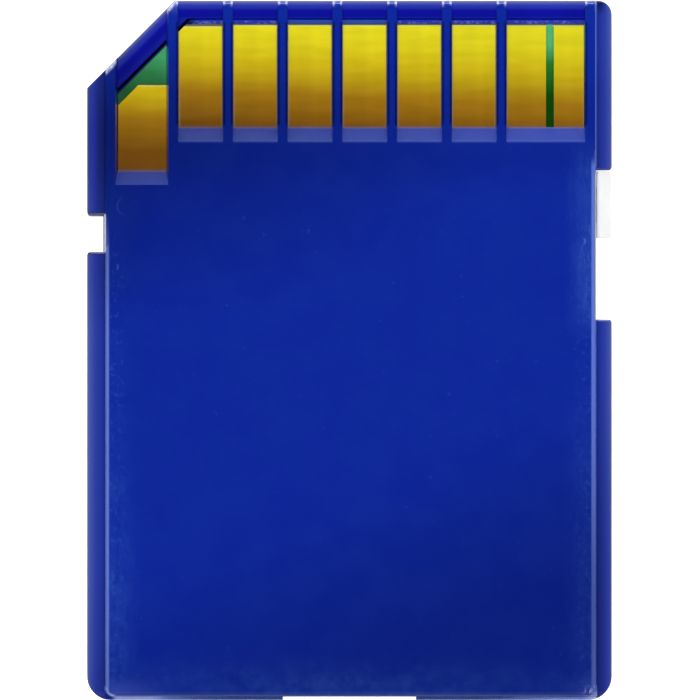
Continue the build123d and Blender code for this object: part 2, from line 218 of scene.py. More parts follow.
class CARD_PG_colours(PropertyGroup):
    """Colours of the card's materials."""

    panel_blue: colour("Panel blue", "Moulded blue of the raised panel", 10, 35, 145)
    scuff_blue: colour("Scuff blue", "Rubbed plastic near the panel's edges", 54, 94, 186)
    # Pale blue for scratches, for painted highlights along the panel's roundings, ramps, first rib and
    # tail, and for a pale haze by the tail.
    edge_blue: colour("Edge blue", "Worn roundings of the panel", 92, 116, 204)
    # Rail colours: painted shade at the step, paling outwards to a painted highlight at the rounded
    # outer edge.
    rail_foot: colour("Rail foot", "Rails next to the panel", 24, 43, 142)
    rail_mid: colour("Rail middle", "Rails half way out", 45, 63, 157)
    rail_edge_highlight: colour("Rail edge", "Rails at their rubbed outer edge", 75, 90, 166)
    # Vivid blue that the rails take where the painted shade is deepest.
    rail_vivid: colour("Rail, vivid", "Rails where they keep their colour in the shade", 42, 52, 200)
    # Tail ledge colours: a painted highlight, darker beside the recess and palest by the left corner.
    tail_ledge_highlight: colour("Tail blue", "Rubbed ledge at the tail", 126, 150, 222)
    tail_shade: colour("Tail shade", "Ledge beside the tail recess", 56, 84, 150)
    tail_ledge_palest: colour("Tail grime", "Palest rub on the ledge, by the left corner", 162, 178, 224)
    # Low bar colours: a painted highlight on its leading edge and rounding, deepening to painted shade
    # towards the board.
    nose_edge_highlight: colour("Nose edge", "Rubbed leading edge of the low bar", 118, 120, 176)
    nose_pale: colour("Nose, pale", "Rounding of the low bar", 78, 82, 146)
    nose_mid: colour("Nose, middle", "Low bar where its rounding ends", 22, 42, 156)
    nose_blue: colour("Nose blue", "Low bar half way back", 7, 11, 154)
    nose_dark: colour("Nose, dark", "Low bar towards the board", 9, 15, 140)
    nose_lip: colour("Nose lip", "Inner lip of the low bar", 18, 26, 150)
    # Paler blue painted on the ramps for the light they catch, and a painted reflection of the gold at
    # their foot.
    ramp_lit_blue: colour("Ramp blue", "Ramps at the back of the windows", 38, 66, 168)
    ramp_foot_reflection: colour("Ramp tint", "Gleam of the gold at the foot of the ramps", 132, 112, 128)
    # Near white for painted highlights and glints, and for the whitened wear at the rib tips.
    white_highlight_and_wear: colour("Wear white", "Whitened plastic at tips and corners", 222, 230, 255)
    # Grey for the rims round the left notch.
    notch_rim_grey: colour("Wear grey", "Greyed plastic round the notches", 136, 146, 186)
    # Grey band along the edge of the lock's notch.
    lock_edge_grey: colour("Wear, dull", "Dulled edge along the lock's notch", 100, 110, 150)
    # Gold colours along the contacts: a painted reflection, bright at the leading end and dull at the
    # foot of the ramps.
    gold_bright: colour("Gold, wiped", "Contacts at their leading end", 238, 227, 30)
    gold_warm: colour("Gold, warm", "Contacts behind their leading end", 231, 214, 25)
    gold_mid: colour("Gold, middle", "Contacts half way along", 210, 184, 14)
    gold_brown: colour("Gold, brown", "Contacts towards the ramps", 165, 119, 9)
    gold_dull: colour("Gold, dull", "Contacts at the foot of the ramps", 122, 77, 5)
    # Painted highlights on the plating's leading edge and rims.
    gold_lead_highlight: colour("Gold lead", "Leading edge of the plating", 216, 216, 140)
    gold_rim_highlight: colour("Gold rim", "Edge of the plating along the ribs", 200, 212, 216)
    # Painted shade in the gaps between the plating and the walls.
    gold_shade: colour("Gold shade", "Gap between the board's plating and a wall", 34, 34, 66)
    # Board colours along the row and by the cut corner: painted shade towards the ramps and deep in the
    # corner, lighter towards the leading end.
    board_pale: colour("Board, pale", "Board between the contacts at the leading end", 80, 169, 106)
    board_mid: colour("Board, middle", "Board half way along the contacts", 30, 111, 35)
    board_dark: colour("Board, dark", "Board in the shade of the ramps", 2, 62, 2)
    corner_pale: colour("Corner, pale", "Board by the cut corner, next to the first rib", 62, 156, 96)
    corner_mid: colour("Corner, middle", "Board half way along the cut corner", 40, 112, 62)
    corner_dark: colour("Corner, dark", "Board at the left of the cut corner", 28, 78, 44)
    board_trace: colour("Board trace", "Copper that shows through the mask", 58, 138, 70)
    board_sawn: colour("Board, sawn", "Bare strip ahead of the contacts", 46, 60, 140)
    board_bevel: colour("Board bevel", "Bevelled leading edge of the board", 14, 32, 152)
    # Painted highlight on the lips of the low bar and the board, where the gap between them is in shade.
    lip_highlight_blue: colour("Lip blue", "Worn lips of the low bar and the board, face to face", 10, 32, 184)
    # Painted shadow in the gap between the board and the low bar.
    board_gap: colour("Board gap", "Shaded gap between the board and the low bar", 10, 24, 80)
    board_chips: colour("Board chips", "Chipped glass along the bevel", 176, 180, 216)
    slider_white: colour("Slider white", "Write-lock slider", 246, 246, 241)
    # Lighter slider colour painted by the panel's wall, against the wall's shade.
    slider_by_wall: colour("Slider, clean", "Write-lock slider where the panel shelters it", 255, 255, 255)
    chip_black: colour("Chip black", "Moulded packages", 26, 26, 28)
    tin: colour("Tin", "Tinned leads, end caps and through-holes", 196, 198, 200)
    capacitor_tan: colour("Capacitor tan", "Ceramic of the capacitors", 168, 128, 88)
    resistor_slate: colour("Resistor slate", "Coating of the resistors", 38, 42, 52)
    label_film: colour("Label film", "Plain film on the front face", 226, 229, 234)
    label_grime: colour("Label grime", "Handled rim of the film", 176, 178, 184)


class CARD_PG_stage(PropertyGroup):
    """Floor, lights and camera."""

    floor_size: length("Floor size", "Width of the white floor", 4.0)
    camera_distance: length("Camera distance", "Height of the camera above the rails", 0.8)
    view_width: length("View width", "Width of the picture at the rails", 0.032012)
    view_right: length("View right", "How far to the right the picture's middle lies", 0.000026)
    view_up: length("View up", "How far towards the leading edge the picture's middle lies", 0.000014)
    light_distance: length("Light distance", "Distance of the soft lights from the card", 0.5)
    lead_light: brightness("Leading light", "Light at the leading edge", 22.4)
    left_light: brightness("Left light", "Light at the left side", 2.0)
    right_light: brightness("Right light", "Light at the lock's side", 2.4)
    tail_light: brightness("Tail light", "Light at the tail", 10.0)
    sky: brightness("Sky", "Dim light from straight above", 0.02)


def own_names(group):
    """Names of the properties that a group adds to Blender's own."""
    return [name for name in group.bl_rna.properties.keys() if name not in BUILT_IN_PROPERTIES]


def in_millimetres(group):
    """The lengths of a property group, by name, in millimetres."""
    return SimpleNamespace(**{name: getattr(group, name) * MILLIMETRES for name in own_names(group)})


def node_box(name):
    """Low and high corner of a CAD node's box, in millimetres."""
    low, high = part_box(name)
    return low * MILLIMETRES, high * MILLIMETRES


class Pattern:
    """A number that varies over a surface. Arithmetic on it adds nodes to its finish."""

    def __init__(self, finish, socket):
        self.finish = finish
        self.socket = socket

    def math(self, operation, *terms):
        """Outcome of a Math node on patterns and numbers."""
        node = self.finish.add("ShaderNodeMath")
        node.operation = operation
        for socket, term in zip(node.inputs, terms):
            self.finish.feed(socket, term)
        return Pattern(self.finish, node.outputs["Value"])

    def __add__(self, other):
        return self.math("ADD", self, other)

    def __sub__(self, other):
        return self.math("SUBTRACT", self, other)

    def __rsub__(self, other):
        return self.math("SUBTRACT", other, self)

    def __mul__(self, other):
        return self.math("MULTIPLY", self, other)

    def __abs__(self):
        return self.math("ABSOLUTE", self)

    def least(self, other):
        return self.math("MINIMUM", self, other)

    def most(self, other):
        return self.math("MAXIMUM", self, other)

    def ping_pong(self, width):
        """Rises to the width and falls again, over and over."""
        return self.math("PINGPONG", self, width)

    def span(self, other):
        """Longest side of a right-angled triangle with these two sides."""
        square = self * self + other * other
        return square.math("SQRT", square)

    def map(self, kind, *limits):
        """This pattern, moved from one span of values to another."""
        node = self.finish.add("ShaderNodeMapRange")
        node.interpolation_type = kind
        for name, value in zip(("Value", "From Min", "From Max", "To Min", "To Max"), (self, *limits)):
            self.finish.feed(node.inputs[name], value)
        return Pattern(self.finish, node.outputs["Result"])

    def fade(self, start, end, low=0.0, high=1.0):
        """low up to start, high from end on, with a soft change in between."""
        return self.map("SMOOTHSTEP", start, end, low, high)

    def slope(self, start, end, low=0.0, high=1.0):
        """low up to start, high from end on, with a straight change in between."""
        return self.map("LINEAR", start, end, low, high)

    def vary(self, low, high):
        """A noise spread out between two values."""
        return self.fade(*NOISE_RANGE, low, high)


class Finish:
    """One procedural material, drawn on Object coordinates in millimetres."""

    def __init__(self, name, metallic=0.0, specular=0.5):
        self.material = bpy.data.materials.new(name)
        self.material.use_nodes = True
        self.tree = self.material.node_tree
        self.shader = self.tree.nodes["Principled BSDF"]
        self.shader.inputs["Metallic"].default_value = metallic
        self.shader.inputs["Specular IOR Level"].default_value = specular
        scaled = self.add("ShaderNodeMapping")
        scaled.inputs["Scale"].default_value = (MILLIMETRES, MILLIMETRES, MILLIMETRES)
        self.feed(scaled.inputs["Vector"], self.add("ShaderNodeTexCoord").outputs["Object"])
        self.place = scaled.outputs["Vector"]
        self.x, self.y, self.z = self.split(self.place)

    def add(self, kind):
        return self.tree.nodes.new(kind)

    def feed(self, socket, value):
        """Link a pattern or a node's output to a socket, or set the socket to a number or a colour."""
        if isinstance(value, Pattern):
            self.tree.links.new(value.socket, socket)
        elif isinstance(value, NodeSocket):
            self.tree.links.new(value, socket)
        elif isinstance(value, (int, float)):
            socket.default_value = value
        else:
            socket.default_value = (*value, 1.0)

    def split(self, vector):
        node = self.add("ShaderNodeSeparateXYZ")
        self.feed(node.inputs["Vector"], vector)
        return tuple(Pattern(self, node.outputs[axis]) for axis in "XYZ")

    def facing(self):
        """Axis parts of the direction that the surface faces."""
        return self.split(self.add("ShaderNodeNewGeometry").outputs["True Normal"])

    def distance(self, x, y):
        """Distance from an upright line through a point."""
        return (self.x - x).span(self.y - y)

    def noise(self, scale, detail=3.0, roughness=0.5, stretch=(1.0, 1.0, 1.0)):
        """Soft random pattern, with scale in waves per millimetre."""
        mapping = self.add("ShaderNodeMapping")
        mapping.inputs["Scale"].default_value = stretch
        self.feed(mapping.inputs["Vector"], self.place)
        node = self.add("ShaderNodeTexNoise")
        self.feed(node.inputs["Vector"], mapping.outputs["Vector"])
        node.inputs["Scale"].default_value = scale
        node.inputs["Detail"].default_value = detail
        node.inputs["Roughness"].default_value = roughness
        return Pattern(self, node.outputs["Fac"])

    def cells(self, scale):
        """Distance from scattered points, with scale in points per millimetre."""
        node = self.add("ShaderNodeTexVoronoi")
        self.feed(node.inputs["Vector"], self.place)
        node.inputs["Scale"].default_value = scale
        return Pattern(self, node.outputs["Distance"])

    def mix(self, factor, under, over, kind="MIX"):
        """One shade laid over another, as strongly as the factor says."""
        node = self.add("ShaderNodeMix")
        node.data_type = "RGBA"
        node.blend_type = kind
        self.feed(node.inputs["Factor"], factor)
        self.feed(node.inputs[MIX_UNDER], under)
        self.feed(node.inputs[MIX_OVER], over)
        return node.outputs[MIX_RESULT]

    def tint(self, shade, tone):
        """Shade made lighter or darker by a pattern."""
        return self.mix(1.0, shade, tone, kind="MULTIPLY")

    def grade(self, value, colours, run):
        """Colours along a pattern: a run has pairs of its value and the name of the colour there."""
        start, end = run[0][0], run[-1][0]
        node = self.add("ShaderNodeValToRGB")
        self.feed(node.inputs["Fac"], value.slope(start, end))
        elements = node.color_ramp.elements
        while len(elements) < len(run):
            elements.new(0.5)
        for element, (at, name) in zip(elements, run):
            element.position = (at - start) / (end - start)
            element.color = (*getattr(colours, name), 1.0)
        return node.outputs["Color"]

    def bump(self, height, strength, depth):
        """Relief from a height pattern; depth in millimetres."""
        node = self.add("ShaderNodeBump")
        node.inputs["Strength"].default_value = strength
        node.inputs["Distance"].default_value = depth / MILLIMETRES
        self.feed(node.inputs["Height"], height)
        self.feed(self.shader.inputs["Normal"], node.outputs["Normal"])

    def paint(self, shade, roughness):
        """The finished material, in its colour and gloss."""
        self.feed(self.shader.inputs["Base Color"], shade)
        self.feed(self.shader.inputs["Roughness"], roughness)
        return self.material


def dress(name, material):
    """Give a CAD node its finished material."""
    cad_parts[name].material_slots[0].material = material


def painted_shade_tone(finish):
    """Painted shade over the moulding: a soft fall of tone, darker by two corners, by the ramps and at
    the left.
    """
    x, y = finish.x, finish.y
    across = (x - SHADE_CORNER_X) * (1 / SHADE_REACH_RIGHT)
    rise = y - SHADE_CORNER_Y
    along = (rise * (1 / SHADE_REACH_LEAD)).most(rise * (-1 / SHADE_REACH_TAIL))
    lead_corner = across.span(along).slope(0.0, 0.9, 0.48, 1.0)
    tail_corner = (x * TAIL_WAY_X + y * TAIL_WAY_Y).fade(*TAIL_SHADE_SPAN, 1.0, 0.62)
    by_ramps = y.fade(*RAMP_SHADE_TAIL_Y) * y.fade(*RAMP_SHADE_LEAD_Y)
    left_margin = x.fade(*LEFT_SHADE_X) * y.fade(*LEFT_SHADE_Y)
    return lead_corner * tail_corner * (1 - by_ramps * 0.13) * (1 - left_margin * 0.09)


def from_cut(finish, sizes):
    """Distance from the cut corner's edge."""
    edge = sizes.lead - sizes.rail_left - sizes.corner_cut
    return (edge - (finish.y - finish.x)) * (1 / sqrt(2))


class CoverZones:
    """Masks of the places on the moulded covers that differ in colour or gloss."""

    def __init__(self, finish, sizes):
        x, y, z = finish.x, finish.y, finish.z
        self.from_left = x - sizes.panel_left
        self.from_right = sizes.panel_right - x
        self.from_tail = y - sizes.panel_tail
        out_left = self.from_left * (1 / (sizes.rail_left - sizes.panel_left))
        self.out_right = self.from_right * (1 / (sizes.panel_right - sizes.rail_right))
        self.outward = out_left.most(self.out_right)
        self.on_panel = z.fade(sizes.panel_top - 0.2, sizes.panel_top - 0.1)
        self.above_rail = z.fade(sizes.rail_level + 0.05, sizes.rail_level + 0.1)
        self.rail_up = z.fade(sizes.rail_level - 0.12, sizes.rail_level - 0.06)
        self.near_top = z.fade(sizes.panel_top - 0.5, sizes.panel_top - 0.3)
        self.from_cut = from_cut(finish, sizes)
        self.from_lead = (sizes.lead - y).least(self.from_cut)
        low = z.fade(sizes.rail_level - 0.08, sizes.rail_level - 0.12)
        low = low * z.fade(sizes.rail_level - 0.58, sizes.rail_level - 0.46)
        self.on_nose = low * self.from_lead.fade(sizes.nose_width + 0.06, sizes.nose_width + 0.02)
        self.from_rib = (x - sizes.first_rib).ping_pong(sizes.rib_pitch / 2)


def panel_shade(finish, colours, zones):
    """Raised panel: faint clouds and specks in the blue, and a haze of scuffs towards its edges."""
    x, y = finish.x, finish.y
    cloud = finish.noise(0.5, detail=4.0).fade(0.35, 0.65)
    shade = finish.mix(cloud * 0.03, colours.panel_blue, colours.scuff_blue)
    specks = finish.noise(3.2, detail=2.0, roughness=0.8).fade(0.66, 0.8)
    shade = finish.mix(specks * 0.22, shade, colours.scuff_blue)
    by_left = zones.from_left.fade(1.9, 0.3) * y.fade(*LEFT_SCUFFS_Y, 0.08, 0.45)
    by_right = zones.from_right.fade(1.8, 0.4) * y.fade(*RIGHT_SCUFFS_Y) * 0.3
    by_lock = zones.from_right.fade(1.6, 0.3) * 0.78
    by_lock = by_lock * y.fade(*LOCK_SCUFFS_TAIL_Y) * y.fade(*LOCK_SCUFFS_LEAD_Y)
    by_tail = zones.from_tail.fade(2.2, 0.2) * abs(x).fade(*TAIL_SCUFFS_X, 0.25, 0.42)
    streaks = finish.noise(2.4, detail=8.0, roughness=0.7, stretch=(1.6, 0.5, 1.0))
    broad = finish.noise(0.8, detail=3.0).vary(0.7, 1.2)
    by_side = by_left.most(by_right).most(by_lock) * streaks.fade(0.36, 0.68, 0.45, 1.15)
    mottled = finish.noise(1.6, detail=5.0, roughness=0.65).fade(0.36, 0.64, 0.62, 1.28)
    rubbed = by_side.most(by_tail * mottled) * broad * zones.on_panel
    shade = finish.mix(rubbed * 0.5, shade, colours.scuff_blue)
    nicks = finish.noise(4.2, detail=3.0, roughness=0.6)
    beside = zones.from_left.least(zones.from_right).fade(1.2, 0.5)
    beside = beside * y.fade(*SIDE_NICKS_Y) * zones.on_panel
    shade = finish.mix(nicks.fade(0.56, 0.66) * beside * 0.2, shade, colours.scuff_blue)
    shade = finish.mix(nicks.fade(0.44, 0.34) * beside * 0.14, shade, BLACK)
    return shade, rubbed


def scratch_marks(finish):
    """Small curved marks, each one side of a ring round a point."""
    marks = None
    for x, y, radius, side, strength in SCRATCHES:
        ring = abs(finish.distance(x, y) - radius).fade(SCRATCH_WIDTH, 0.0)
        mark = ring * ((finish.x - x) * side).fade(0.0, radius) * strength
        marks = marks.most(mark) if marks else mark
    return marks


def edge_shade(finish, sizes, colours, zones, shade):
    """Panel edges, with painted highlights where they are rounded, and a grey band and a painted
    highlight along the lock's notch.
    """
    y = finish.y
    # Painted highlights on the panel's rounded edges, fainter towards the tail on the right.
    left = zones.from_left.fade(0.24, 0.13) * y.fade(sizes.left_round + 0.3, sizes.left_round)
    glow = zones.from_left.fade(0.26, 0.04) * y.fade(sizes.notch_lead + 0.2, sizes.left_round) * 0.8
    thin = zones.from_left.fade(0.06, 0.02) * y.fade(sizes.corner_foot + 0.19, sizes.notch_lead) * 0.5
    right = zones.from_right.fade(0.33, 0.23) * y.fade(sizes.right_round + 0.4, sizes.right_round - 0.2)
    right = right * zones.from_right.fade(0.0, 0.24, 0.35, 1.0)
    wall = zones.from_right.fade(0.125, 0.085) * y.fade(sizes.right_round - 0.3, sizes.right_round)
    fainter = y.fade(*FAINT_HIGHLIGHT_Y, 0.9, 0.62)
    edge_highlight = left.most(glow).most(thin).most(right.most(wall) * fainter) * zones.above_rail
    shade = finish.mix(edge_highlight, shade, colours.edge_blue)
    # Painted highlight on the steep side of the left rounding.
    rim = zones.from_left.fade(0.09, 0.02) * y.fade(sizes.left_round + 0.1, sizes.left_round - 0.1)
    shade = finish.mix(rim * zones.above_rail * 0.22, shade, colours.white_highlight_and_wear)
    # A grey band and a painted highlight along the edge of the lock's notch.
    notch_tail = sizes.lock_notch_lead - sizes.lock_notch_length
    by_lock = y.fade(notch_tail - 0.1, notch_tail + 0.1)
    by_lock = by_lock * y.fade(sizes.lock_notch_lead, sizes.lock_notch_lead - 0.2) * zones.near_top
    shade = finish.mix(by_lock * zones.from_right.fade(0.2, 0.14) * 0.8, shade, colours.lock_edge_grey)
    return finish.mix(by_lock * zones.from_right.fade(0.12, 0.08) * 0.6, shade, colours.white_highlight_and_wear)


def rail_shade(finish, sizes, colours, zones, shade):
    """Side rails, with painted shade at the step, a painted highlight paler outwards and a painted
    shadow at the right rail's leading end.
    """
    tones = finish.grade(zones.outward, colours, RAIL_RUN)
    # Painted shadow on the right rail's leading end.
    painted_shade = zones.out_right.fade(0.7, 0.2) * finish.y.fade(sizes.lead - 0.8, sizes.lead - 0.1)
    tones = finish.mix(painted_shade * 0.7, tones, BLACK)
    return finish.mix(zones.outward.fade(0.0, 0.02) * zones.rail_up, shade, tones)


def tail_shade(finish, sizes, colours, zones, shade):
    """Narrow ledge at the tail, with a painted highlight but for the stretch beside its recess, a pale
    haze near it, a painted highlight round the left corner and painted glints by the right one.
    """
    x = finish.x
    between = zones.from_left.fade(0.0, 0.1) * zones.from_right.fade(0.0, 0.1)
    uneven = (finish.noise(1.1, detail=4.0) - 0.5) * 0.12
    ledge = (zones.from_tail + x * 0.0015 + uneven).fade(0.06, -0.04) * zones.rail_up * between
    ledge = ledge * zones.from_left.fade(0.25, 0.55)
    ledge = ledge * finish.z.fade(sizes.rail_level + 0.45, sizes.rail_level + 0.2)
    # Painted highlight on the tail ledge, darker beside the recess, palest by the left corner and with a
    # painted glint at its right end.
    tones = finish.mix(abs(x).fade(*RECESS_SHADE_X), colours.tail_ledge_highlight, colours.tail_shade)
    grime = x.fade(*PALEST_LEFT_X) * x.fade(*PALEST_RIGHT_X) * zones.from_tail.fade(0.03, -0.03)
    tones = finish.mix(grime, tones, colours.tail_ledge_palest)
    tones = finish.mix(x.fade(*TAIL_RIGHT_GLINT_X) * 0.35, tones, colours.white_highlight_and_wear)
    # A pale haze by the tail's corners, and a painted highlight along the tail's rounding.
    from_right = finish.distance(sizes.panel_right - 0.1, sizes.panel_tail)
    haze = (from_right.fade(1.6, 0.2) * 0.12).most(from_right.fade(0.8, 0.1) * 0.26)
    haze = haze.most(x.fade(*TAIL_HAZE_X) * zones.from_tail.fade(1.1, 0.2) * 0.15)
    haze = haze.most(zones.from_tail.fade(0.15, 0.07) * between * 0.22)
    shade = finish.mix(haze * zones.above_rail, shade, colours.edge_blue)
    shade = finish.mix(ledge, shade, tones)
    # Painted highlight round the left corner and painted glints by the right one.
    strokes = finish.noise(7.0, detail=4.0, roughness=0.6, stretch=(1.0, 0.3, 1.0)).fade(0.48, 0.6)
    bend_x, bend_y = sizes.panel_left + sizes.panel_bend, sizes.panel_tail + sizes.panel_bend
    bend = abs(finish.distance(bend_x, bend_y) - sizes.panel_bend + 0.04).fade(0.11, 0.03)
    bend = bend * x.fade(bend_x + 0.1, bend_x - 0.1) * finish.y.fade(bend_y + 0.1, bend_y - 0.1)
    shade = finish.mix(bend * zones.rail_up, shade, colours.edge_blue)
    right = (from_right.fade(0.75, 0.1) * strokes * 0.5).most(from_right.fade(0.3, 0.05) * 0.2)
    return finish.mix(right.most(bend * 0.25) * zones.above_rail, shade, colours.white_highlight_and_wear)


def nose_shade(finish, sizes, colours, zones, shade):
    """Low bar at the leading edge, with a painted highlight on its rounding, painted shade towards the
    board and a painted highlight on its lip.
    """
    tones = finish.grade(zones.from_lead, colours, NOSE_RUN)
    back = sizes.lead - finish.y
    straight = finish.x.fade(sizes.first_rib + 0.7, sizes.first_rib + 0.9)
    # Painted highlight on the lip of the low bar.
    lip = back.fade(LIP_START, LIP_START + 0.03) * back.fade(LIP_END, LIP_END - 0.03) * straight
    tones = finish.mix(lip, tones, colours.lip_highlight_blue)
    return finish.mix(zones.on_nose, shade, tones)


def ramp_shade(finish, sizes, colours, zones, shade):
    """Ramps behind the contact row, painted a paler blue for the light they catch, with a painted
    reflection of the gold at their foot and a painted highlight along their top edge.
    """
    _, facing_y, facing_z = finish.facing()
    on_ramp = facing_y.fade(0.5, 0.6) * facing_z.fade(0.5, 0.6) * zones.rail_up
    # Painted reflection of the gold at the foot of the ramps.
    gleam = finish.z.fade(sizes.rail_level + 0.12, sizes.rail_level - 0.02)
    tones = finish.mix(gleam * 0.6, colours.ramp_lit_blue, colours.ramp_foot_reflection)
    shade = finish.mix(on_ramp, shade, tones)
    # Painted highlight along the top edge of the ramps.
    brow = abs(finish.y - sizes.ramp_foot + sizes.ramp_run + 0.01).fade(0.08, 0.02)
    half = sizes.rib_width / 2
    last_rib = sizes.first_rib + (ROW_RIB_COUNT - 1) * sizes.rib_pitch
    in_window = zones.from_rib.fade(half, half + 0.05)
    in_window = in_window.most(finish.x.fade(last_rib + half, last_rib + 0.5))
    in_window = in_window * finish.x.fade(sizes.first_rib, sizes.first_rib + 0.2)
    in_window = in_window * finish.x.fade(sizes.window_right + 0.02, sizes.window_right - 0.02)
    return finish.mix(brow * in_window * zones.on_panel * 0.25, shade, colours.edge_blue)


def rib_shade(finish, sizes, colours, zones, shade):
    """Ribs, with painted shade along their sides, a painted highlight on the first rib, and painted
    glints with whitened wear at their tips and by the cut corner.
    """
    half = sizes.rib_width / 2
    x, y = finish.x, finish.y
    from_side = (half - zones.from_rib).most((x - sizes.window_right).least(zones.from_right))
    beside_gold = y.fade(sizes.lead - 0.9, sizes.lead - 1.1)
    beside_gold = beside_gold * y.fade(sizes.ramp_foot, sizes.ramp_foot + 0.2)
    # Painted shade along the sides of the ribs.
    side = from_side.fade(0.15, 0.03) * from_side.fade(-0.06, -0.03) * beside_gold
    in_row = x.fade(sizes.first_rib - 0.1, sizes.first_rib)
    in_row = in_row * x.fade(sizes.panel_right - 0.2, sizes.panel_right - 0.3)
    shade = finish.mix(zones.on_panel * side * in_row * 0.7, shade, BLACK)
    # Painted highlight on the first rib near the leading edge.
    first = abs(x - sizes.first_rib).fade(half, half - 0.05) * y.fade(sizes.lead - 0.8, sizes.lead - 0.1)
    shade = finish.mix(first * zones.above_rail * 0.35, shade, colours.edge_blue)
    # Painted glints with whitened wear at the rib tips and by the cut corner.
    ragged = finish.noise(5.0, detail=3.0).fade(0.3, 0.6)
    reach = finish.noise(3.0, detail=3.0, stretch=(1.0, 0.1, 1.0)).fade(0.4, 0.6, 0.29, 0.38)
    tip = (sizes.lead - y).fade(reach, 0.0) * from_side.fade(0.14, 0.05, 0.06, 0.85)
    cut = zones.from_cut.fade(0.26, 0.1) * (ragged * 0.7 + 0.3)
    return finish.mix(tip.most(cut) * zones.near_top * 0.85, shade, colours.white_highlight_and_wear)


def notch_shade(finish, sizes, colours, zones, shade):
    """Left notch: a painted highlight on the panel's wall, grey rims of both covers beside it and
    painted shade on the rims' edges.
    """
    x, y, z = finish.x, finish.y, finish.z
    lead, tail, wall = sizes.notch_lead, sizes.notch_lead - sizes.notch_length, sizes.notch_wall
    beside = y.fade(tail - 0.05, tail + 0.05) * y.fade(lead + 0.05, lead - 0.05)
    # Painted highlight on the panel's wall in the notch.
    bright = zones.from_left.fade(0.07, 0.04) * beside * zones.rail_up
    bright = bright * z.fade(sizes.panel_top - 0.15, sizes.panel_top - 0.4)
    rim = zones.from_left.fade(-0.02, -0.03) * beside * zones.rail_up
    step = z.fade(sizes.seam_level + 0.06, sizes.seam_level + 0.02) * x.fade(wall, wall - 0.02)
    step = step * z.fade(sizes.seam_level - 0.1, sizes.seam_level - 0.06)
    step = step * abs(y - lead).fade(0.12, 0.08)
    # Painted shade on the rims at the notch's ends.
    ends = abs(y - lead - 0.025).fade(0.075, 0.045).most(abs(y - tail + 0.03).fade(0.08, 0.045))
    ends = ends * zones.from_left.fade(-0.02, -0.06)
    ends = ends * z.fade(sizes.rail_level - 0.3, sizes.rail_level - 0.2)
    shade = finish.mix(ends * 0.85, shade, BLACK)
    shade = finish.mix(bright, shade, colours.white_highlight_and_wear)
    shade = finish.mix(rim.most(step), shade, colours.notch_rim_grey)
    # Painted shade on the outer rim of the notch.
    return finish.mix(rim * x.fade(wall + 0.08, wall + 0.06) * 0.95, shade, BLACK)


def cover_finish(sizes, colours):
    """Blue moulded plastic of both covers, with painted highlights along its edges, painted shade over
    it and scuffs near its edges.
    """
    finish = Finish("cover_plastic", specular=0.22)
    zones = CoverZones(finish, sizes)
    shade, rubbed = panel_shade(finish, colours, zones)
    shade = finish.mix(scratch_marks(finish) * zones.on_panel, shade, colours.edge_blue)
    for layer in (edge_shade, rail_shade, nose_shade, ramp_shade):
        shade = layer(finish, sizes, colours, zones, shade)
    # Painted shade over the covers; where it is deepest the rails get a more vivid blue.
    tone = painted_shade_tone(finish)
    shade = finish.tint(shade, tone)
    vivid = zones.outward.fade(0.3, 0.65) * zones.outward.fade(0.98, 0.8) * zones.rail_up
    shade = finish.mix(vivid * (1 - tone) * 0.6, shade, colours.rail_vivid)
    for layer in (tail_shade, rib_shade, notch_shade):
        shade = layer(finish, sizes, colours, zones, shade)
    finish.bump(finish.noise(9.0, detail=3.0), strength=0.1, depth=0.005)
    fleck = finish.noise(5.0, detail=4.0, roughness=0.65).vary(0.2, 0.27)
    nose = zones.on_nose * zones.from_lead.fade(0.45, 0.3, 0.3, 0.75)
    tail = zones.from_tail.fade(0.25, 0.18) * 0.75
    return finish.paint(shade, fleck.most(nose).most(tail).most(rubbed * 0.4))


def gold_finish(name, colours, window, shift=0.0, low_lead=0.0, mask_left=0.0, mask_right=0.0, rim=0.3):
    """Gold plating of one contact, with a painted reflection bright at its leading end and dull towards
    the ramp, painted highlights on its rims and painted shade along its gaps.
    """
    low, high = node_box(name)
    finish = Finish(name, metallic=0.3, specular=0.2)
    x, y = finish.x, finish.y
    along = y + x * GOLD_SLANT + shift
    # Painted reflection: bright at the leading end, dull towards the ramp.
    shade = finish.grade(along, colours, GOLD_RUN)
    wiped = finish.noise(3.0, detail=4.0, stretch=(0.15, 1.0, 1.0))
    shade = finish.tint(shade, wiped.vary(0.97, 1.02))
    left, right, foot = window
    from_left, from_right = x - left, right - x
    # Painted light: brighter by the ribs whose shadows fall on the sides, darker to the right, and the
    # brown end paler to the right.
    lift = from_left.fade(1.0, 0.3, 1.0, 1.1) * from_right.fade(1.2, 0.5, 1.0, 1.14)
    shade = finish.tint(shade, lift * x.fade(*DULL_GOLD_X, 1.0, 0.93))
    paler_right = x * along.fade(*BROWN_GOLD_Y) * 0.013 + 1.0
    shade = finish.tint(shade, paler_right)
    # Painted highlight on the rims.
    shade = finish.mix(from_left.least(from_right).fade(0.13, 0.0) * rim, shade, colours.gold_rim_highlight)
    # Painted reflection at the foot of the ramp.
    shade = finish.mix(y.fade(foot + 0.14, foot + 0.02) * 0.25, shade, colours.ramp_foot_reflection)
    for from_edge, width in ((x - low.x, mask_left), (high.x - x, mask_right)):
        if width:
            masked = from_edge.fade(width + 0.01, width - 0.01)
            shade = finish.mix(masked, shade, finish.grade(y, colours, ROW_RUN))
    from_lead = high.y - low_lead - y
    # Painted highlight on the leading edge.
    shade = finish.mix(from_lead.fade(0.1, 0.06) * 0.6, shade, colours.gold_lead_highlight)
    # Painted shade along the gaps at the sides and the leading end.
    painted_shade = from_left.fade(0.05, 0.01).most(from_right.fade(0.07, 0.03))
    painted_shade = painted_shade.most(from_lead.fade(0.04, 0.02))
    shade = finish.mix(painted_shade * 0.8, shade, colours.gold_shade)
    finish.bump(wiped, strength=0.1, depth=0.01)
    return finish.paint(shade, wiped.vary(0.42, 0.5))


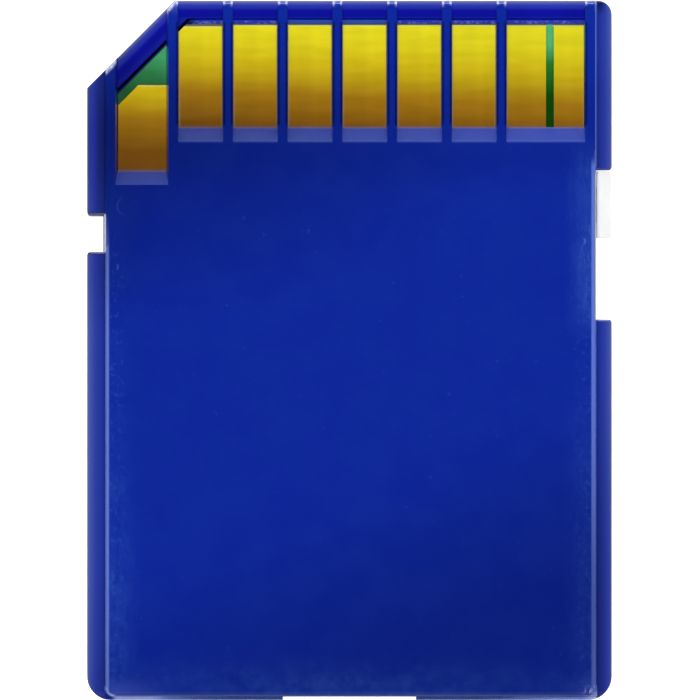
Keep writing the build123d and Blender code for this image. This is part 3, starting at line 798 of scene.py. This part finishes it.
def board_finish(sizes, colours):
    """Green solder mask over woven glass, with copper lanes under it, a chipped bevel at the lead,
    painted shade towards the ramps and in the gaps, and a painted highlight on its lip.
    """
    lead = node_box("circuit_board")[1].y
    row_lead = first_high.y * MILLIMETRES
    finish = Finish("board_laminate", specular=0.15)
    x, y = finish.x, finish.y
    # Painted shade along the board, deepest by the ramps and in the cut corner.
    corner = finish.grade(y + (x - sizes.first_rib) * CORNER_SLANT, colours, CORNER_RUN)
    by_corner = x.fade(sizes.first_rib + 0.1, sizes.first_rib - 0.1)
    shade = finish.mix(by_corner, finish.grade(y, colours, ROW_RUN), corner)
    lanes = (x * LANE_COUNT).ping_pong(0.5).fade(0.16, 0.12)
    lanes = lanes.most((y * LANE_COUNT).ping_pong(0.5).fade(0.1, 0.06))
    covered = y.fade(sizes.ramp_foot - 1.0, sizes.ramp_foot - 1.2)
    routed = finish.noise(0.35, detail=1.0).fade(0.48, 0.52) * covered
    shade = finish.mix(lanes * routed * 0.7, shade, colours.board_trace)
    shade = finish.mix(finish.cells(0.45).fade(0.12, 0.09) * covered, shade, colours.tin)
    weave = (x * THREAD_COUNT).ping_pong(0.5) + (y * THREAD_COUNT).ping_pong(0.5)
    shade = finish.tint(shade, weave.slope(0.0, 1.0, 0.96, 1.04))
    shade = finish.mix(y.fade(row_lead - 0.02, row_lead + 0.01), shade, colours.board_sawn)
    bevel = y.fade(lead - 0.14, lead - 0.08)
    shade = finish.mix(bevel, shade, colours.board_bevel)
    # Painted highlight on the board's lip.
    shade = finish.mix(y.fade(lead - 0.06, lead - 0.01), shade, colours.lip_highlight_blue)
    ahead = y.fade(row_lead, row_lead + 0.03)
    whole = abs(x - WHOLE_EDGE_X).fade(WHOLE_EDGE_HALF + 0.1, WHOLE_EDGE_HALF - 0.1)
    shade = finish.mix(ahead * whole * 0.08, shade, colours.board_pale)
    chipped = finish.noise(7.0, detail=4.0, roughness=0.65).fade(0.5, 0.6) * (1 - whole)
    chipped = chipped * ahead * y.fade(lead - 0.03, lead - 0.09)
    shade = finish.mix(chipped * 0.2, shade, colours.board_chips)
    cut_tail = sizes.lead - sizes.corner_cut
    # Painted shadow in the corner window's gap and along the low bar.
    gap = x.fade(sizes.window_left + 0.15, sizes.window_left + 0.11)
    gap = gap * y.fade(cut_tail - 0.2, cut_tail - 0.4)
    shade = finish.mix(gap, shade, colours.gold_shade)
    gap_end = x.fade(sizes.first_rib - 0.1, sizes.first_rib + 0.1, 1.2, 1.32)
    shade = finish.mix((from_cut(finish, sizes) - gap_end).fade(0.03, -0.03), shade, colours.board_gap)
    finish.bump(weave + lanes * routed, strength=0.2, depth=0.01)
    return finish.paint(shade, finish.noise(8.0).vary(0.34, 0.46))


def slider_finish(sizes, colours):
    """White nylon that lets some light through, with a fine grain in its gloss and relief, and painted
    lighter by the panel's wall against that wall's shade.
    """
    finish = Finish("slider_nylon")
    finish.shader.inputs["Subsurface Weight"].default_value = 0.6
    finish.shader.inputs["Subsurface Radius"].default_value = (1.0, 1.0, 1.0)
    finish.shader.inputs["Subsurface Scale"].default_value = 0.3 / MILLIMETRES
    grain = finish.noise(6.0, detail=4.0)
    finish.bump(grain, strength=0.1, depth=0.01)
    # Painted light: the slider lighter next to the panel's wall, where it lies in the wall's shade.
    by_wall = finish.x.fade(sizes.panel_right + 0.31, sizes.panel_right + 0.01)
    shade = finish.mix(by_wall, colours.slider_white, colours.slider_by_wall)
    shade = finish.tint(shade, grain.vary(0.985, 1.0))
    return finish.paint(shade, grain.vary(0.34, 0.48))


def tin_finish(colours):
    """Tinned metal with a fine grain in its colour, gloss and relief."""
    finish = Finish("tinned_leads", metallic=1.0)
    grain = finish.noise(6.0, detail=4.0)
    finish.bump(grain, strength=0.15, depth=0.01)
    return finish.paint(finish.tint(colours.tin, grain.vary(0.96, 1.0)), grain.vary(0.29, 0.43))


def package_finish(name, colours):
    """Black moulded package with a fine matt grain and a polished dimple at its first corner."""
    low, high = node_box(name)
    finish = Finish(name)
    grain = finish.noise(14.0, detail=4.0)
    from_dimple = finish.distance(low.x + DIMPLE_INSET, high.y - DIMPLE_INSET)
    dimple = from_dimple.fade(DIMPLE_RADIUS + 0.02, DIMPLE_RADIUS - 0.02)
    finish.bump(grain * 0.3 - dimple, strength=0.3, depth=0.05)
    shade = finish.tint(colours.chip_black, grain.vary(0.85, 1.15))
    return finish.paint(shade, grain.vary(0.55, 0.68) - dimple * 0.3)


def passive_finish(name, colours, body):
    """Small part with a ceramic body between two tinned end caps."""
    low, high = node_box(name)
    middle = (low.x + high.x) / 2
    half_body = (high.x - low.x) / 2 - CAP_LENGTH
    finish = Finish(name)
    cap = abs(finish.x - middle).fade(half_body - 0.01, half_body + 0.01)
    grain = finish.noise(9.0)
    finish.feed(finish.shader.inputs["Metallic"], cap)
    finish.bump(grain, strength=0.2, depth=0.01)
    shade = finish.tint(finish.mix(cap, body, colours.tin), grain.vary(0.9, 1.05))
    return finish.paint(shade, grain.vary(0.5, 0.6) - cap * 0.2)


def label_finish(colours):
    """Plain satin film, a little grey along its handled rim."""
    low, high = node_box("front_label")
    middle = (low + high) / 2
    half = (high - low) / 2
    finish = Finish("label_film")
    rim = (half.x - abs(finish.x - middle.x)).least(half.y - abs(finish.y - middle.y))
    grime = rim.fade(0.9, 0.0) * finish.noise(1.2, detail=5.0).fade(0.35, 0.7)
    fibre = finish.noise(6.0, detail=5.0, stretch=(1.0, 0.3, 1.0))
    shade = finish.mix(grime * 0.5, colours.label_film, colours.label_grime)
    finish.bump(fibre, strength=0.1, depth=0.01)
    return finish.paint(finish.tint(shade, fibre.vary(0.97, 1.0)), fibre.vary(0.3, 0.4))


def pad_window(number, sizes):
    """Left and right side and ramp foot of a contact's window; the last two of the row share one."""
    half_rib = sizes.rib_width / 2
    if number == CORNER_PAD:
        return sizes.window_left, sizes.first_rib - half_rib, sizes.corner_foot
    rib = sizes.first_rib + (min(number, ROW_RIB_COUNT) - 1) * sizes.rib_pitch
    if number >= ROW_RIB_COUNT:
        return rib + half_rib, sizes.window_right, sizes.ramp_foot
    return rib + half_rib, rib + sizes.rib_pitch - half_rib, sizes.ramp_foot


class CardOperator(Operator):
    """Shared settings of the card's operators."""

    bl_options = {"REGISTER", "UNDO"}


class CARD_OT_covers(CardOperator):
    """Finish both moulded covers"""

    bl_idname = "memory_card.covers"
    bl_label = "Covers"

    def execute(self, context):
        scene = context.scene
        material = cover_finish(in_millimetres(scene.card_sizes), scene.card_colours)
        dress("rear_cover", material)
        dress("front_cover", material)
        return {"FINISHED"}


class CARD_OT_lock_slider(CardOperator):
    """Finish the write-lock slider"""

    bl_idname = "memory_card.lock_slider"
    bl_label = "Lock slider"

    def execute(self, context):
        scene = context.scene
        dress("lock_slider", slider_finish(in_millimetres(scene.card_sizes), scene.card_colours))
        return {"FINISHED"}


class CARD_OT_circuit_board(CardOperator):
    """Finish the circuit board"""

    bl_idname = "memory_card.circuit_board"
    bl_label = "Circuit board"

    def execute(self, context):
        scene = context.scene
        dress("circuit_board", board_finish(in_millimetres(scene.card_sizes), scene.card_colours))
        return {"FINISHED"}


class CARD_OT_contacts(CardOperator):
    """Finish the nine gold contacts"""

    bl_idname = "memory_card.contacts"
    bl_label = "Contacts"

    def execute(self, context):
        scene = context.scene
        sizes = in_millimetres(scene.card_sizes)
        for number in range(1, PAD_COUNT + 1):
            name = f"contact_{number}"
            traits = PAD_TRAITS.get(number, {})
            dress(name, gold_finish(name, scene.card_colours, pad_window(number, sizes), **traits))
        return {"FINISHED"}


class CARD_OT_packages(CardOperator):
    """Finish the two packages and their leads"""

    bl_idname = "memory_card.packages"
    bl_label = "Packages"

    def execute(self, context):
        colours = context.scene.card_colours
        for name in ("flash_chip", "controller_chip"):
            dress(name, package_finish(name, colours))
        tin = tin_finish(colours)
        for name in ("flash_chip_leads", "controller_terminals"):
            dress(name, tin)
        return {"FINISHED"}


class CARD_OT_passives(CardOperator):
    """Finish the small parts round the packages"""

    bl_idname = "memory_card.passives"
    bl_label = "Small parts"

    def execute(self, context):
        colours = context.scene.card_colours
        bodies = {"capacitor": colours.capacitor_tan, "resistor": colours.resistor_slate}
        for number in range(1, PASSIVE_COUNT + 1):
            for kind, body in bodies.items():
                name = f"{kind}_{number}"
                dress(name, passive_finish(name, colours, body))
        return {"FINISHED"}


class CARD_OT_label(CardOperator):
    """Finish the film on the front face"""

    bl_idname = "memory_card.label"
    bl_label = "Label"

    def execute(self, context):
        dress("front_label", label_finish(context.scene.card_colours))
        return {"FINISHED"}


def add_light(stage, name):
    """Soft rectangular light aimed at the card."""
    azimuth, elevation, width, height = LIGHTS[name]
    light = bpy.data.lights.new(name, "AREA")
    light.shape = "RECTANGLE"
    light.size = width
    light.size_y = height
    light.energy = getattr(stage, name) * width * height * LIGHT_POWER
    lamp = bpy.data.objects.new(name, light)
    flat = cos(radians(elevation))
    way = Vector((cos(radians(azimuth)) * flat, sin(radians(azimuth)) * flat, sin(radians(elevation))))
    lamp.location = way * stage.light_distance
    lamp.rotation_euler = way.to_track_quat("Z", "Y").to_euler()
    bpy.context.scene.collection.objects.link(lamp)


def floor_material():
    """White floor that the camera sees without shadows, as on a light table."""
    material = bpy.data.materials.new("white_floor")
    material.use_nodes = True
    tree = material.node_tree
    shader = tree.nodes["Principled BSDF"]
    shader.inputs["Base Color"].default_value = (*FLOOR_GREY, 1.0)
    shader.inputs["Roughness"].default_value = FLOOR_ROUGHNESS
    shader.inputs["Emission Color"].default_value = (*WHITE, 1.0)
    path = tree.nodes.new("ShaderNodeLightPath")
    tree.links.new(path.outputs["Is Camera Ray"], shader.inputs["Emission Strength"])
    return material


def add_floor(stage):
    """Flat floor under the card."""
    sheet = bmesh.new()
    bmesh.ops.create_grid(sheet, x_segments=1, y_segments=1, size=stage.floor_size / 2)
    bmesh.ops.translate(sheet, verts=sheet.verts, vec=(0.0, 0.0, -FLOOR_DROP))
    mesh = bpy.data.meshes.new("floor")
    sheet.to_mesh(mesh)
    sheet.free()
    mesh.materials.append(floor_material())
    floor = bpy.data.objects.new("floor", mesh)
    bpy.context.scene.collection.objects.link(floor)


def add_world(stage):
    """White along the horizon and dim above, so that flat faces keep their colour."""
    world = bpy.data.worlds.new("studio")
    world.use_nodes = True
    bpy.context.scene.world = world
    tree = world.node_tree
    split = tree.nodes.new("ShaderNodeSeparateXYZ")
    tree.links.new(tree.nodes.new("ShaderNodeTexCoord").outputs["Generated"], split.inputs["Vector"])
    rise = tree.nodes.new("ShaderNodeMapRange")
    rise.interpolation_type = "SMOOTHSTEP"
    rise.inputs["From Min"].default_value, rise.inputs["From Max"].default_value = HORIZON_FADE
    rise.inputs["To Min"].default_value = 1.0
    rise.inputs["To Max"].default_value = stage.sky
    tree.links.new(split.outputs["Z"], rise.inputs["Value"])
    background = tree.nodes["Background"]
    background.inputs["Color"].default_value = (*WHITE, 1.0)
    tree.links.new(rise.outputs["Result"], background.inputs["Strength"])


def add_camera(stage, rail_level):
    """Camera that looks straight down on the card."""
    camera = bpy.data.cameras.new("camera")
    camera.sensor_width = SENSOR_WIDTH
    camera.lens = SENSOR_WIDTH * stage.camera_distance / stage.view_width
    camera.clip_start = CLIP_NEAR
    camera.clip_end = CLIP_FAR
    viewer = bpy.data.objects.new("camera", camera)
    viewer.location = (stage.view_right, stage.view_up, rail_level + stage.camera_distance)
    bpy.context.scene.collection.objects.link(viewer)
    bpy.context.scene.camera = viewer


class CARD_OT_stage(CardOperator):
    """Set up the floor, the lights and the camera"""

    bl_idname = "memory_card.stage"
    bl_label = "Stage"

    def execute(self, context):
        scene = context.scene
        stage = scene.card_stage
        add_floor(stage)
        for name in LIGHTS:
            add_light(stage, name)
        add_world(stage)
        add_camera(stage, scene.card_sizes.rail_level)
        scene.view_settings.view_transform = "Standard"
        return {"FINISHED"}


class CARD_PT_sidebar(Panel):
    """Sidebar list of the card's pieces and settings"""

    bl_label = "Memory Card"
    bl_idname = "CARD_PT_sidebar"
    bl_space_type = "VIEW_3D"
    bl_region_type = "UI"
    bl_category = "Memory Card"

    def draw(self, context):
        layout = self.layout
        for operator in OPERATORS:
            layout.operator(operator.bl_idname)
        for group in (context.scene.card_sizes, context.scene.card_colours, context.scene.card_stage):
            box = layout.box()
            for name in own_names(group):
                box.prop(group, name)


OPERATORS = (
    CARD_OT_covers,
    CARD_OT_lock_slider,
    CARD_OT_circuit_board,
    CARD_OT_contacts,
    CARD_OT_packages,
    CARD_OT_passives,
    CARD_OT_label,
    CARD_OT_stage,
)
GROUPS = {"card_sizes": CARD_PG_sizes, "card_colours": CARD_PG_colours, "card_stage": CARD_PG_stage}


def register():
    for group in GROUPS.values():
        bpy.utils.register_class(group)
    for operator in OPERATORS:
        bpy.utils.register_class(operator)
    bpy.utils.register_class(CARD_PT_sidebar)
    for name, group in GROUPS.items():
        setattr(bpy.types.Scene, name, PointerProperty(type=group))


def unregister():
    for name in GROUPS:
        delattr(bpy.types.Scene, name)
    bpy.utils.unregister_class(CARD_PT_sidebar)
    for operator in reversed(OPERATORS):
        bpy.utils.unregister_class(operator)
    for group in reversed(GROUPS.values()):
        bpy.utils.unregister_class(group)


def main():
    register()
    bpy.ops.memory_card.covers()
    bpy.ops.memory_card.lock_slider()
    bpy.ops.memory_card.circuit_board()
    bpy.ops.memory_card.contacts()
    bpy.ops.memory_card.packages()
    bpy.ops.memory_card.passives()
    bpy.ops.memory_card.label()
    bpy.ops.memory_card.stage()


if __name__ == "__main__":
    main()
